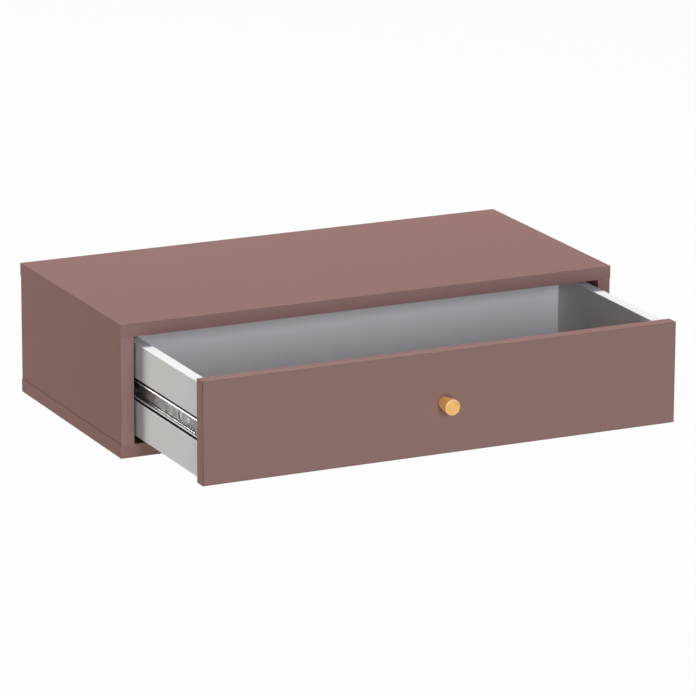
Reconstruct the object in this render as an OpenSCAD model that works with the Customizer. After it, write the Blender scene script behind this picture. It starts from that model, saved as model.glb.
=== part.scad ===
// Wall-hung console: a flat box of coated board with one inset drawer on
// two-member ball-bearing runners, hung from screws through a rail behind the drawer.
// X runs to the right, Y towards the wall and Z up. The origin lies on the wall,
// at the middle of the line of wall screws. The drawer stands open, as photographed.

/* [Cabinet] */
// Width over the edge bands of the top
cabinet_w = 720; // [480:1:1200]
// Depth from the wall to the front edges
cabinet_d = 348; // [290:1:500]
// Height over the top and bottom panels
cabinet_h = 181; // [170:1:400]
// Thickness of the coated boards
board_t = 18; // [16:0.5:25]
// Thickness of the plastic edge bands
edge_t = 0.8; // [0.4:0.1:2]
// Thickness of the hardboard back
back_t = 3; // [2.5:0.1:5]
// Width of the rebate that the back lies in
rebate_w = 8; // [6:0.5:9]

/* [Hanging] */
// Thickness of the hanging rail
hanging_t = 18; // [16:0.5:25]
// Height of the hanging rail
hanging_h = 70; // [56:1:110]
// Diameter of the holes for the wall screws
wall_hole_d = 6.5; // [4:0.1:9]
// Distance from the side panels to the outer wall holes
wall_hole_inset = 61.2; // [55:0.1:90]

/* [Drawer front] */
// Thickness of the drawer front
front_t = 18; // [16:0.5:25]
// Gap beside the drawer front, on each side
front_side_gap = 1.2; // [0.5:0.1:2.4]
// Gap above and below the drawer front
front_end_gap = 3.7; // [1:0.1:6]

/* [Drawer box] */
// Thickness of the drawer sides
drawer_side_t = 15; // [15:0.5:18]
// Drop of the drawer sides below the upper edge of the front
drawer_side_drop = 5.5; // [5:0.1:20]
// Height of the sides above the lower edge of the front
drawer_side_lift = 6.6; // [3:0.1:8]
// Thickness of the edge bands on the drawer box
drawer_edge_t = 0.4; // [0.3:0.1:1]
// Thickness of the drawer back
drawer_back_t = 15; // [15:0.5:18]
// Distance from the drawer back to the rear ends of the sides
drawer_back_inset = 7; // [0:0.5:20]
// Thickness of the drawer bottom
drawer_bottom_t = 3; // [2.5:0.1:4]
// Height of the drawer bottom above the lower edge of the sides
drawer_bottom_lift = 10; // [8:0.5:11]
// Depth of the groove that holds the drawer bottom
bottom_groove_d = 6; // [4:0.5:6.5]
// Free space behind the closed drawer
drawer_rear_gap = 7; // [4:0.5:20]

/* [Runners] */
// Width of a runner, from the cabinet side to the bottom of its groove
runner_w = 10; // [9.8:0.1:11]
// Gap between the cabinet side and the drawer side
side_gap = 2.9; // [2.5:0.1:3.4]
// Height of the channel on the drawer side
channel_h = 27; // [26:0.5:32]
// Thickness of the runner steel
steel_t = 1.2; // [1:0.1:1.3]
// Space above and below the channel in its groove
groove_gap = 2.3; // [0.5:0.1:3]
// Distance from the drawer front to the front end of the channel
runner_setback = 1; // [0.5:0.1:5]
// Diameter of the balls
ball_d = 4; // [3.8:0.1:4.2]
// Balls in each row
ball_count = 6; // [4:1:8]
// Length of the ball cage
cage_l = 66; // [60:1:90]
// How far the open drawer stands short of its stop
open_reserve = 6.7; // [0:0.1:60]

/* [Knob] */
// Diameter of the outer end of the knob
knob_d = 21; // [18:0.5:40]
// Diameter of the foot of the knob
knob_foot_d = 16; // [12:0.5:17]
// Height of the knob
knob_l = 26; // [18:0.5:40]
// Bevel round the outer end of the knob
knob_bevel = 0.9; // [0.3:0.1:1.5]

/* [Hidden] */
$fn = 48;

// Overrun of every cut
eps = 1;
// Radial clearance of a fastener in its bore
bore_fit = 0.05;
// Clearance of the back in its rebate and of the drawer bottom in its groove
board_fit = 0.2;
// Hairline between two edge bands that meet at a corner
band_joint = 0.1;

// Planes of the cabinet
half_core = cabinet_w / 2 - edge_t;
half_inner = half_core - board_t;
front_y = -cabinet_d;
core_front_y = front_y + edge_t;
ceiling_z = hanging_h / 2;
top_z = ceiling_z + board_t;
bottom_z = top_z - cabinet_h;
floor_z = bottom_z + board_t;
opening_h = ceiling_z - floor_z;
middle_z = floor_z + opening_h / 2;
hanging_front_y = -back_t - hanging_t;

// Planes of the closed drawer
half_front = half_inner - front_side_gap;
front_bottom_z = floor_z + front_end_gap;
front_h = opening_h - 2 * front_end_gap;
box_front_y = front_y + front_t;
box_rear_y = hanging_front_y - drawer_rear_gap;
drawer_side_l = box_rear_y - box_front_y;
half_box = half_inner - side_gap;
half_box_inner = half_box - drawer_side_t;
side_bottom_z = front_bottom_z + drawer_side_lift;
side_top_z = front_bottom_z + front_h - drawer_side_drop;
drawer_side_h = side_top_z - side_bottom_z;
bottom_board_z = side_bottom_z + drawer_bottom_lift;
back_rear_y = box_rear_y - drawer_back_inset;
back_mid_y = back_rear_y - drawer_back_t / 2;
bottom_tongue = bottom_groove_d - board_fit;

// Runner: places across it are measured from the cabinet side, and heights from its axis
runner_z = side_bottom_z + drawer_side_h / 2;
runner_l = drawer_side_l - 2 * runner_setback;
groove_depth = runner_w - side_gap;
groove_h = channel_h + 2 * groove_gap;
ball_play = 0.05;
race_r = ball_d / 2 + ball_play;
ball_x = runner_w - steel_t - race_r;
ball_z = channel_h / 2 - steel_t - race_r;
channel_web_x = runner_w - steel_t;
// Drop of the inner member's flanges below the balls, and the gaps that the cage runs in
flange_drop = 0.85;
cage_t = 0.5;
cage_arm_gap = 0.15;
cage_web_gap = 0.2;
cage_tip_gap = 0.3;
window_play = 0.1;
flange_z = ball_z - flange_drop;
cage_arm_z = ball_z - cage_arm_gap;
cage_web_x = channel_web_x - cage_web_gap;
flange_tip_x = cage_web_x - cage_t - cage_tip_gap;
cage_arm_reach = 0.8;
cage_lip_x = ball_x - race_r - cage_arm_reach;
// Stops: a tab on each member that the cage meets, and a soft bumper at the front
tab_l = 2;
tab_h = 0.6;
tab_play = 0.5;
rear_tab_z = 5;
bumper_l = 4;
bumper_t = 3.4;
bumper_play = 0.3;
// Closed places of the members, and the travel that the cage allows
channel_front_y = box_front_y + runner_setback;
mounting_front_y = channel_front_y + bumper_l + bumper_play;
runner_travel = runner_l - bumper_l - bumper_play - cage_l - 2 * (tab_l + tab_play);
drawer_open = runner_travel - open_reserve;
cage_front_y = mounting_front_y + tab_l + tab_play + (runner_travel - drawer_open) / 2;
ball_margin = 5.5;
ball_pitch = (cage_l - 2 * ball_margin) / (ball_count - 1);

// Runner screws: places along each member are measured from its front end
mounting_screw_inset = 20;
mounting_screw_l = 14;
mounting_head_d = 6.5;
mounting_head_t = 1.8;
runner_screw_d = 3.5;
channel_screw_first = 43;
channel_screw_l = 8;
channel_head_d = 6.4;
access_hole_d = 13;
access_hole_step = 26;
mounting_screw_ys = [mounting_screw_inset, runner_l / 2, runner_l - mounting_screw_inset];
channel_screw_last = runner_l - mounting_screw_inset;
channel_screw_ys = [channel_screw_first, channel_screw_last];
access_hole_ys = [channel_screw_first + access_hole_step, channel_screw_last - access_hole_step];

// Cam fittings: the lock lies in one board and its bolt is screwed into the other
cam_d = 15;
cam_reach = 34;
cam_floor = 5;
drawer_cam_reach = 24;
drawer_cam_floor = 3;
cam_play = 0.4;
cam_cross_l = 8;
cam_cross_w = 1.6;
cam_cross_depth = 2.5;
bolt_head_d = 6.6;
bolt_head_l = 3;
bolt_neck_d = 4;
bolt_neck_l = (cam_d - bolt_head_l) / 2 + cam_play;
bolt_shank_d = 6.8;
bolt_thread_d = 5;
bolt_thread_l = 11;

// Dowels
dowel_d = 8;
dowel_end_l = 18;
dowel_face_l = 11;
drawer_dowel_d = 6;
drawer_dowel_end_l = 14;
drawer_dowel_face_l = 9;
hanging_dowel_inset = 12;

// Carcass joints: the cams lie this far from the front and rear edges, the dowels further in
joint_inset = 50;
joint_dowel_step = 32;
cam_ys = [front_y + joint_inset, -joint_inset];
dowel_ys = [front_y + joint_inset + joint_dowel_step, -joint_inset - joint_dowel_step];

// Drawer joints: a fitting midway between the grooves of the bottom and the runner, and one
// midway above the runner's groove, with a dowel on each side of its bolt
drawer_joint_gap = 3.2;
bottom_groove_top_z = bottom_board_z + drawer_bottom_t + board_fit;
lower_joint_z = (bottom_groove_top_z + runner_z - groove_h / 2) / 2;
upper_joint_z = (runner_z + groove_h / 2 + side_top_z) / 2;
drawer_dowel_step = bolt_shank_d / 2 + drawer_joint_gap + drawer_dowel_d / 2;
drawer_joint_zs = [lower_joint_z, upper_joint_z];
drawer_dowel_zs = [upper_joint_z - drawer_dowel_step, upper_joint_z + drawer_dowel_step];

// Screws of the drawer box
back_screw_d = 5;
back_screw_l = 45;
back_screw_head_d = 8;
bottom_screw_d = 3;
bottom_screw_l = 16;
bottom_screw_head_d = 5.4;
bottom_screw_inset = 40;
bottom_screw_xs = spread(half_box_inner - bottom_screw_inset);

// Nails of the back
nail_d = 1.6;
nail_l = 20;
nail_head_d = 3.2;
nail_head_t = 0.8;
nail_inset = 40;
side_nail_lift = 25;
nail_places = concat(
    [for (x = spread(half_inner - nail_inset)) [x, ceiling_z + rebate_w / 2]],
    [for (x = spread(half_inner - nail_inset)) [x, floor_z - rebate_w / 2]],
    [for (side = [-1, 1]) [side * (half_inner + rebate_w / 2), floor_z + side_nail_lift]]);

// Knob and its screw
knob_z = front_bottom_z + front_h / 2;
knob_screw_d = 4;
knob_screw_bite = 11;
knob_thread_l = 14;
knob_screw_hole_d = 5;
knob_screw_head_d = 8.5;
knob_screw_head_t = 2.8;
knob_flare_share = 0.82;

// Places of the outer and middle holes in the hanging rail
wall_hole_x = half_inner - wall_hole_inset;
wall_hole_xs = [-wall_hole_x, 0, wall_hole_x];

// Four places evenly spaced over twice the reach
function spread(reach) = [-reach, -reach / 3, reach / 3, reach];

// Colours of the finishes
board_colour = [0.55, 0.42, 0.40];
white_colour = [0.86, 0.86, 0.84];
wood_colour = [0.80, 0.66, 0.45];
steel_colour = [0.70, 0.71, 0.72];
zinc_colour = [0.60, 0.61, 0.62];
brass_colour = [0.85, 0.62, 0.30];
plastic_colour = [0.15, 0.15, 0.15];

// A block between two opposite corners
module block(low, high) {
    translate(low) cube(high - low);
}

// A bore along +Z with the clearance of its fastener, cut through the face that it starts from
module bore(d, h) {
    translate([0, 0, -eps]) cylinder(d = d + 2 * bore_fit, h = h + eps);
}

// A countersunk screw along +Z with its head flush at zero
module countersunk_screw(d, l, head_d, fit = 0) {
    head_h = (head_d - d) / 2;
    cylinder(d1 = head_d + 2 * fit, d2 = d + 2 * fit, h = head_h);
    cylinder(d = d + 2 * fit, h = l + fit);
}

// Children moved with the drawer from its closed place to where it stands open
module opened() {
    translate([0, -drawer_open, 0]) children();
}

// Joints between the side panels and the top and bottom: +X points into the top or bottom,
// +Z out of the inner face of the side panel, and the joint's face lies at zero
module at_carcass_joints(ys) {
    for (right = [0, 1], top = [0, 1], y = ys)
        mirror([right, 0, 0]) translate([0, y, middle_z]) mirror([0, 0, top])
            translate([-half_inner, 0, -opening_h / 2]) rotate([0, 90, 0]) children();
}

// Joints between the hanging rail and the side panels: +X points into the side panel,
// +Y up and +Z out of the front face of the rail
module at_hanging_joints() {
    for (left = [0, 1])
        mirror([left, 0, 0]) translate([half_inner, hanging_front_y, 0])
            rotate([90, 0, 0]) children();
}

// Joints between the closed drawer's sides and its front: +X points into the front
// and +Z out of the inner face of the side
module at_front_joints(zs) {
    for (right = [0, 1], z = zs)
        mirror([right, 0, 0]) translate([-half_box_inner, box_front_y, z])
            rotate([-90, 0, 0]) rotate([0, 90, 0]) children();
}

// Joints between the closed drawer's sides and its back: +Z points from the outer face
// of the side into the end of the back
module at_back_joints(zs) {
    for (right = [0, 1], z = zs)
        mirror([right, 0, 0]) translate([-half_box, back_mid_y, z]) rotate([0, 90, 0]) children();
}

// The lock of a cam fitting, with its face at zero and the bolt's axis along X in its middle
module cam_lock(depth, axis_depth) {
    difference() {
        translate([0, 0, -depth + bore_fit]) cylinder(d = cam_d - 2 * bore_fit, h = depth - bore_fit);
        translate([-bolt_head_l / 2 - cam_play, 0, -axis_depth]) rotate([0, 90, 0])
            cylinder(d = bolt_head_d + 2 * cam_play, h = bolt_head_l + 2 * cam_play);
        translate([0, 0, -axis_depth]) rotate([0, 90, 0])
            cylinder(d = bolt_neck_d + 2 * cam_play, h = cam_d);
        for (turn = [0, 90])
            rotate([0, 0, turn]) translate([-cam_cross_l / 2, -cam_cross_w / 2, -cam_cross_depth])
                cube([cam_cross_l, cam_cross_w, cam_cross_depth + eps]);
    }
}

// The bolt of a cam fitting, with its head centred at zero and its thread beyond the joint's face
module cam_bolt(reach) {
    neck_start = bolt_head_l / 2;
    neck_end = neck_start + bolt_neck_l;
    rotate([0, 90, 0]) rotate_extrude() polygon([
        [0, -neck_start], [bolt_head_d / 2, -neck_start], [bolt_head_d / 2, neck_start],
        [bolt_neck_d / 2, neck_start], [bolt_neck_d / 2, neck_end], [bolt_shank_d / 2, neck_end],
        [bolt_shank_d / 2, reach], [bolt_thread_d / 2, reach],
        [bolt_thread_d / 2, reach + bolt_thread_l], [0, reach + bolt_thread_l]]);
}

// Hole for a lock and the shank of its bolt, in the board that holds the lock
module cam_pocket(depth, axis_depth, reach) {
    translate([-reach, 0, -depth]) cylinder(d = cam_d, h = depth + eps);
    translate([-reach, 0, -axis_depth]) rotate([0, 90, 0])
        cylinder(d = bolt_shank_d + 2 * bore_fit, h = reach + eps);
}

// Hole for the thread of a bolt, in the board that it is screwed into
module thread_hole(axis_depth) {
    translate([0, 0, -axis_depth]) rotate([0, 90, 0]) bore(bolt_thread_d, bolt_thread_l + bore_fit);
}

// A dowel across a joint's face, and the holes for its two ends
module dowel(d, end_l, face_l, axis_depth) {
    translate([-end_l, 0, -axis_depth]) rotate([0, 90, 0]) cylinder(d = d, h = end_l + face_l);
}

module dowel_holes(d, end_l, face_l, axis_depth) {
    translate([-end_l - bore_fit, 0, -axis_depth]) rotate([0, 90, 0])
        cylinder(d = d + 2 * bore_fit, h = end_l + face_l + 2 * bore_fit);
}

module carcass_dowel_holes() {
    at_carcass_joints(dowel_ys) dowel_holes(dowel_d, dowel_end_l, dowel_face_l, board_t / 2);
}

// The two dowels and the lock at each end of the hanging rail
module hanging_dowels(holes) {
    for (side = [-1, 1])
        translate([0, side * (hanging_h / 2 - hanging_dowel_inset), 0])
            if (holes)
                dowel_holes(dowel_d, dowel_end_l, dowel_face_l, hanging_t / 2);
            else
                dowel(dowel_d, dowel_end_l, dowel_face_l, hanging_t / 2);
}

// Space that the back lies in, cut from all four boards round it
module back_rebate() {
    block([-half_inner - rebate_w, -back_t, floor_z - rebate_w],
        [half_inner + rebate_w, eps, ceiling_z + rebate_w]);
}

// One nail of the back, driven from behind, and the hole that it makes
module nail(fit) {
    rotate([90, 0, 0]) {
        cylinder(d = nail_head_d + 2 * fit, h = nail_head_t + fit);
        cylinder(d = nail_d + 2 * fit, h = nail_l + fit);
    }
}

module nail_holes() {
    for (place = nail_places) translate([place[0], 0, place[1]]) nail(bore_fit);
}

module panel_board(low_z) {
    difference() {
        block([-half_core, core_front_y, low_z], [half_core, 0, low_z + board_t]);
        back_rebate();
        nail_holes();
        at_carcass_joints(cam_ys) thread_hole(board_t / 2);
        carcass_dowel_holes();
    }
}

// Coated boards over and under the side panels
module top_panel() {
    color(board_colour) panel_board(ceiling_z);
}

module bottom_panel() {
    color(board_colour) panel_board(bottom_z);
}

module side_board(side) {
    outer = side * half_core;
    inner = side * half_inner;
    difference() {
        block([min(outer, inner), core_front_y, floor_z], [max(outer, inner), 0, ceiling_z]);
        back_rebate();
        nail_holes();
        at_carcass_joints(cam_ys) cam_pocket(board_t - cam_floor, board_t / 2, cam_reach);
        carcass_dowel_holes();
        at_hanging_joints() thread_hole(hanging_t / 2);
        at_hanging_joints() hanging_dowels(true);
        mounting_screw_holes();
    }
}

module left_side_panel() {
    color(board_colour) side_board(-1);
}

module right_side_panel() {
    color(board_colour) side_board(1);
}

// Hardboard back in the rebate, flush with the rear edges of the boards
module back_panel() {
    reach = rebate_w - board_fit;
    color(board_colour) difference() {
        block([-half_inner - reach, -back_t, floor_z - reach],
            [half_inner + reach, 0, ceiling_z + reach]);
        nail_holes();
        wall_holes();
    }
}

module wall_holes() {
    for (x = wall_hole_xs)
        translate([x, eps, 0]) rotate([90, 0, 0])
            cylinder(d = wall_hole_d, h = back_t + hanging_t + 2 * eps);
}

// Rail under the top panel, in front of the back, that the wall screws pass through
module hanging_rail() {
    color(board_colour) difference() {
        block([-half_inner, hanging_front_y, -hanging_h / 2], [half_inner, -back_t, ceiling_z]);
        wall_holes();
        at_hanging_joints() cam_pocket(hanging_t - cam_floor, hanging_t / 2, cam_reach);
        at_hanging_joints() hanging_dowels(true);
    }
}

// Bands on the front edge and both ends of the top or bottom panel
module panel_bands(low_z) {
    high_z = low_z + board_t;
    block([-cabinet_w / 2, front_y, low_z], [cabinet_w / 2, core_front_y, high_z]);
    for (right = [0, 1]) mirror([right, 0, 0])
        block([-cabinet_w / 2, core_front_y + band_joint, low_z], [-half_core, 0, high_z]);
}

module top_edge_bands() {
    color(board_colour) panel_bands(ceiling_z);
}

module bottom_edge_bands() {
    color(board_colour) panel_bands(bottom_z);
}

// Bands on the front edges of the two side panels
module side_edge_bands() {
    color(board_colour) {
        block([-half_core, front_y, floor_z], [-half_inner, core_front_y, ceiling_z]);
        block([half_inner, front_y, floor_z], [half_core, core_front_y, ceiling_z]);
    }
}

module cabinet_dowels() {
    color(wood_colour) {
        at_carcass_joints(dowel_ys) dowel(dowel_d, dowel_end_l, dowel_face_l, board_t / 2);
        at_hanging_joints() hanging_dowels(false);
    }
}

module cam_locks() {
    color(zinc_colour) {
        at_carcass_joints(cam_ys) translate([-cam_reach, 0, 0])
            cam_lock(board_t - cam_floor, board_t / 2);
        at_hanging_joints() translate([-cam_reach, 0, 0])
            cam_lock(hanging_t - cam_floor, hanging_t / 2);
    }
}

module cam_bolts() {
    color(steel_colour) {
        at_carcass_joints(cam_ys) translate([-cam_reach, 0, -board_t / 2]) cam_bolt(cam_reach);
        at_hanging_joints() translate([-cam_reach, 0, -hanging_t / 2]) cam_bolt(cam_reach);
    }
}

module back_panel_nails() {
    color(steel_colour) for (place = nail_places) translate([place[0], 0, place[1]]) nail(0);
}

// Outer member's section: a web with a rolled ball race at each edge
module channel_section() {
    translate([channel_web_x, -ball_z]) square([steel_t, 2 * ball_z]);
    for (lower = [0, 1])
        mirror([0, lower]) translate([ball_x, ball_z]) difference() {
            circle(r = race_r + steel_t);
            circle(r = race_r);
            translate([-runner_w, -runner_w]) square([2 * runner_w, runner_w]);
        }
}

// Inner member's section: a web on the cabinet side, with flanges that dip under the balls
module mounting_section() {
    translate([0, -flange_z]) square([steel_t, 2 * flange_z]);
    for (lower = [0, 1])
        mirror([0, lower]) difference() {
            union() {
                translate([0, flange_z - steel_t]) square([ball_x - race_r, steel_t]);
                intersection() {
                    translate([ball_x, ball_z]) circle(r = race_r + steel_t);
                    translate([ball_x - race_r - steel_t, 0])
                        square([flange_tip_x - ball_x + race_r + steel_t, flange_z]);
                }
            }
            translate([ball_x, ball_z]) circle(r = race_r);
        }
}

// Cage's section: a strip with an arm at each edge that holds the balls apart
module cage_section() {
    inner_z = cage_arm_z - cage_t;
    difference() {
        translate([cage_lip_x, -cage_arm_z]) square([cage_web_x - cage_lip_x, 2 * cage_arm_z]);
        translate([-eps, -inner_z]) square([cage_web_x - cage_t + eps, 2 * inner_z]);
    }
}

// Left runner's frame: X across it from the cabinet side, Z from its axis;
// a section is drawn from a front place to the rear
module along_runner(start_y, l) {
    translate([-half_inner, start_y + l, runner_z]) rotate([90, 0, 0]) linear_extrude(l) children();
}

module at_mounting_screws() {
    for (y = mounting_screw_ys)
        translate([-half_inner + steel_t, mounting_front_y + y, runner_z])
            rotate([0, -90, 0]) children();
}

module mounting_screw_holes() {
    for (right = [0, 1]) mirror([right, 0, 0]) at_mounting_screws()
        bore(runner_screw_d, steel_t + mounting_screw_l);
}

// Member screwed to the cabinet side, with a tab at its front that stops the cage
module cabinet_runner() {
    difference() {
        union() {
            along_runner(mounting_front_y, runner_l) mounting_section();
            for (lower = [0, 1])
                translate([-half_inner, mounting_front_y, runner_z]) mirror([0, 0, lower])
                    translate([cage_lip_x, 0, flange_z])
                        cube([cage_arm_reach + steel_t / 4, tab_l, tab_h]);
        }
        at_mounting_screws() bore(runner_screw_d, 2 * steel_t);
    }
}

module left_cabinet_runner() {
    color(steel_colour) cabinet_runner();
}

module right_cabinet_runner() {
    color(steel_colour) mirror([1, 0, 0]) cabinet_runner();
}

module cabinet_runner_screws() {
    color(zinc_colour) for (right = [0, 1]) mirror([right, 0, 0]) at_mounting_screws() {
        cylinder(d = runner_screw_d, h = mounting_screw_l);
        translate([0, 0, -mounting_head_t]) cylinder(d = mounting_head_d, h = mounting_head_t);
    }
}

// Space of the runner groove and of the screws in it, in the closed left drawer side
module runner_groove() {
    block([-half_box - eps, box_front_y - eps, runner_z - groove_h / 2],
        [-half_box + groove_depth, box_rear_y + eps, runner_z + groove_h / 2]);
    at_channel_screws() countersunk_screw(runner_screw_d, channel_screw_l, channel_head_d, bore_fit);
}

module at_channel_screws() {
    for (y = channel_screw_ys)
        translate([-half_inner + channel_web_x, channel_front_y + y, runner_z])
            rotate([0, 90, 0]) children();
}

// Member in the groove of the drawer side, with access holes and a tab that stops the cage
module drawer_runner() {
    difference() {
        union() {
            along_runner(channel_front_y, runner_l) channel_section();
            translate([-half_inner + channel_web_x - tab_h, channel_front_y + runner_l - tab_l,
                runner_z - rear_tab_z])
                cube([tab_h + steel_t / 2, tab_l, 2 * rear_tab_z]);
        }
        at_channel_screws() translate([0, 0, -bore_fit])
            countersunk_screw(runner_screw_d, channel_screw_l, channel_head_d, 2 * bore_fit);
        for (y = access_hole_ys)
            translate([-half_inner + channel_web_x - eps, channel_front_y + y, runner_z])
                rotate([0, 90, 0]) cylinder(d = access_hole_d, h = steel_t + 2 * eps);
    }
}

module left_drawer_runner() {
    color(steel_colour) opened() drawer_runner();
}

module right_drawer_runner() {
    color(steel_colour) opened() mirror([1, 0, 0]) drawer_runner();
}

module drawer_runner_screws() {
    color(zinc_colour) opened() for (right = [0, 1]) mirror([right, 0, 0]) at_channel_screws()
        countersunk_screw(runner_screw_d, channel_screw_l, channel_head_d);
}

// Soft blocks in the front ends of the channels, which the inner members meet
module runner_bumpers() {
    color(plastic_colour) opened() for (right = [0, 1]) mirror([right, 0, 0])
        translate([-half_inner + channel_web_x - bumper_t, channel_front_y, runner_z - flange_z])
            cube([bumper_t, bumper_l, 2 * flange_z]);
}

// Rows of balls along the left runner, above and below its axis
module at_balls() {
    for (lower = [0, 1], k = [0:ball_count - 1])
        translate([-half_inner + ball_x, cage_front_y + ball_margin + k * ball_pitch,
            runner_z]) mirror([0, 0, lower]) translate([0, 0, ball_z]) children();
}

module ball_cage() {
    window_d = ball_d + 2 * window_play;
    difference() {
        along_runner(cage_front_y, cage_l) cage_section();
        at_balls() cylinder(d = window_d, h = window_d, center = true);
    }
}

module left_ball_cage() {
    color(zinc_colour) ball_cage();
}

module right_ball_cage() {
    color(zinc_colour) mirror([1, 0, 0]) ball_cage();
}

module left_runner_balls() {
    color(steel_colour) at_balls() sphere(d = ball_d);
}

module right_runner_balls() {
    color(steel_colour) mirror([1, 0, 0]) at_balls() sphere(d = ball_d);
}

// Groove for the drawer bottom, in the sides and the front of the closed drawer
module bottom_groove() {
    block([-half_box_inner - bottom_groove_d, box_front_y - bottom_groove_d, bottom_board_z],
        [half_box_inner + bottom_groove_d, box_rear_y + eps, bottom_groove_top_z]);
}

module front_dowel_holes() {
    at_front_joints(drawer_dowel_zs)
        dowel_holes(drawer_dowel_d, drawer_dowel_end_l, drawer_dowel_face_l, drawer_side_t / 2);
}

// Inset front of the same board as the cabinet
module drawer_front() {
    color(board_colour) opened() difference() {
        block([-half_front + edge_t, front_y, front_bottom_z + edge_t],
            [half_front - edge_t, box_front_y, front_bottom_z + front_h - edge_t]);
        bottom_groove();
        front_dowel_holes();
        at_front_joints(drawer_joint_zs) thread_hole(drawer_side_t / 2);
        translate([0, box_front_y + eps, knob_z]) rotate([90, 0, 0])
            cylinder(d = knob_screw_hole_d, h = front_t + 2 * eps);
    }
}

// Bands round the four edges of the front
module drawer_front_edge_bands() {
    front_top_z = front_bottom_z + front_h;
    color(board_colour) opened() {
        block([-half_front, front_y, front_top_z - edge_t], [half_front, box_front_y, front_top_z]);
        block([-half_front, front_y, front_bottom_z],
            [half_front, box_front_y, front_bottom_z + edge_t]);
        for (right = [0, 1]) mirror([right, 0, 0])
            block([-half_front, front_y, front_bottom_z + edge_t + band_joint],
                [-half_front + edge_t, box_front_y, front_top_z - edge_t - band_joint]);
    }
}

// Left drawer side in its closed place, with the runner's groove in its outer face
module drawer_side() {
    difference() {
        block([-half_box, box_front_y, side_bottom_z],
            [-half_box_inner, box_rear_y, side_top_z - drawer_edge_t]);
        runner_groove();
        bottom_groove();
        front_dowel_holes();
        at_front_joints(drawer_joint_zs)
            cam_pocket(drawer_side_t - drawer_cam_floor, drawer_side_t / 2, drawer_cam_reach);
        back_joint_holes();
    }
}

module back_joint_holes() {
    at_back_joints(drawer_joint_zs) translate([0, 0, -bore_fit])
        countersunk_screw(back_screw_d, back_screw_l, back_screw_head_d, 2 * bore_fit);
    at_back_joints(drawer_dowel_zs)
        translate([0, 0, drawer_side_t - drawer_dowel_face_l - bore_fit])
            cylinder(d = drawer_dowel_d + 2 * bore_fit,
                h = drawer_dowel_face_l + drawer_dowel_end_l + 2 * bore_fit);
}

module drawer_left_side() {
    color(white_colour) opened() drawer_side();
}

module drawer_right_side() {
    color(white_colour) opened() mirror([1, 0, 0]) drawer_side();
}

// Back between the sides, standing on the bottom
module drawer_back() {
    color(white_colour) opened() difference() {
        block([-half_box_inner, back_rear_y - drawer_back_t, bottom_board_z + drawer_bottom_t],
            [half_box_inner, back_rear_y, side_top_z - drawer_edge_t]);
        back_joint_holes();
        at_bottom_screws() countersunk_screw(bottom_screw_d, bottom_screw_l,
            bottom_screw_head_d, bore_fit);
    }
}

module at_bottom_screws() {
    for (x = bottom_screw_xs) translate([x, back_mid_y, bottom_board_z]) children();
}

// Bottom in the grooves of the front and sides, screwed up into the back
module drawer_bottom() {
    color(white_colour) opened() difference() {
        block([-half_box_inner - bottom_tongue, box_front_y - bottom_tongue, bottom_board_z],
            [half_box_inner + bottom_tongue, back_rear_y, bottom_board_z + drawer_bottom_t]);
        at_bottom_screws() translate([0, 0, -bore_fit])
            countersunk_screw(bottom_screw_d, bottom_screw_l, bottom_screw_head_d, 2 * bore_fit);
    }
}

// Bands on the upper edges of the drawer sides and back
module drawer_box_edge_bands() {
    low_z = side_top_z - drawer_edge_t;
    color(white_colour) opened() {
        for (right = [0, 1]) mirror([right, 0, 0])
            block([-half_box, box_front_y, low_z], [-half_box_inner, box_rear_y, side_top_z]);
        block([-half_box_inner + band_joint, back_rear_y - drawer_back_t, low_z],
            [half_box_inner - band_joint, back_rear_y, side_top_z]);
    }
}

module drawer_dowels() {
    color(wood_colour) opened() {
        at_front_joints(drawer_dowel_zs)
            dowel(drawer_dowel_d, drawer_dowel_end_l, drawer_dowel_face_l, drawer_side_t / 2);
        at_back_joints(drawer_dowel_zs) translate([0, 0, drawer_side_t - drawer_dowel_face_l])
            cylinder(d = drawer_dowel_d, h = drawer_dowel_face_l + drawer_dowel_end_l);
    }
}

module drawer_cam_locks() {
    color(zinc_colour) opened() at_front_joints(drawer_joint_zs) translate([-drawer_cam_reach, 0, 0])
        cam_lock(drawer_side_t - drawer_cam_floor, drawer_side_t / 2);
}

module drawer_cam_bolts() {
    color(steel_colour) opened() at_front_joints(drawer_joint_zs)
        translate([-drawer_cam_reach, 0, -drawer_side_t / 2]) cam_bolt(drawer_cam_reach);
}

module drawer_back_screws() {
    color(zinc_colour) opened() at_back_joints(drawer_joint_zs)
        countersunk_screw(back_screw_d, back_screw_l, back_screw_head_d);
}

module drawer_bottom_screws() {
    color(zinc_colour) opened() at_bottom_screws()
        countersunk_screw(bottom_screw_d, bottom_screw_l, bottom_screw_head_d);
}

// Turned brass knob, widest at its outer end, with a threaded hole in its foot
module knob() {
    flare_l = knob_l - knob_bevel;
    color(brass_colour) opened() translate([0, front_y, knob_z]) rotate([90, 0, 0])
        difference() {
            rotate_extrude() polygon([
                [0, 0], [knob_foot_d / 2, 0], [knob_d / 2, flare_l * knob_flare_share],
                [knob_d / 2, flare_l], [knob_d / 2 - knob_bevel, knob_l], [0, knob_l]]);
            bore(knob_screw_d, knob_thread_l);
        }
}

// Machine screw from inside the drawer through the front into the knob
module knob_screw() {
    color(zinc_colour) opened() translate([0, box_front_y, knob_z]) rotate([90, 0, 0]) {
        cylinder(d = knob_screw_d, h = front_t + knob_screw_bite);
        translate([0, 0, -knob_screw_head_t]) cylinder(d = knob_screw_head_d, h = knob_screw_head_t);
    }
}

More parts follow.
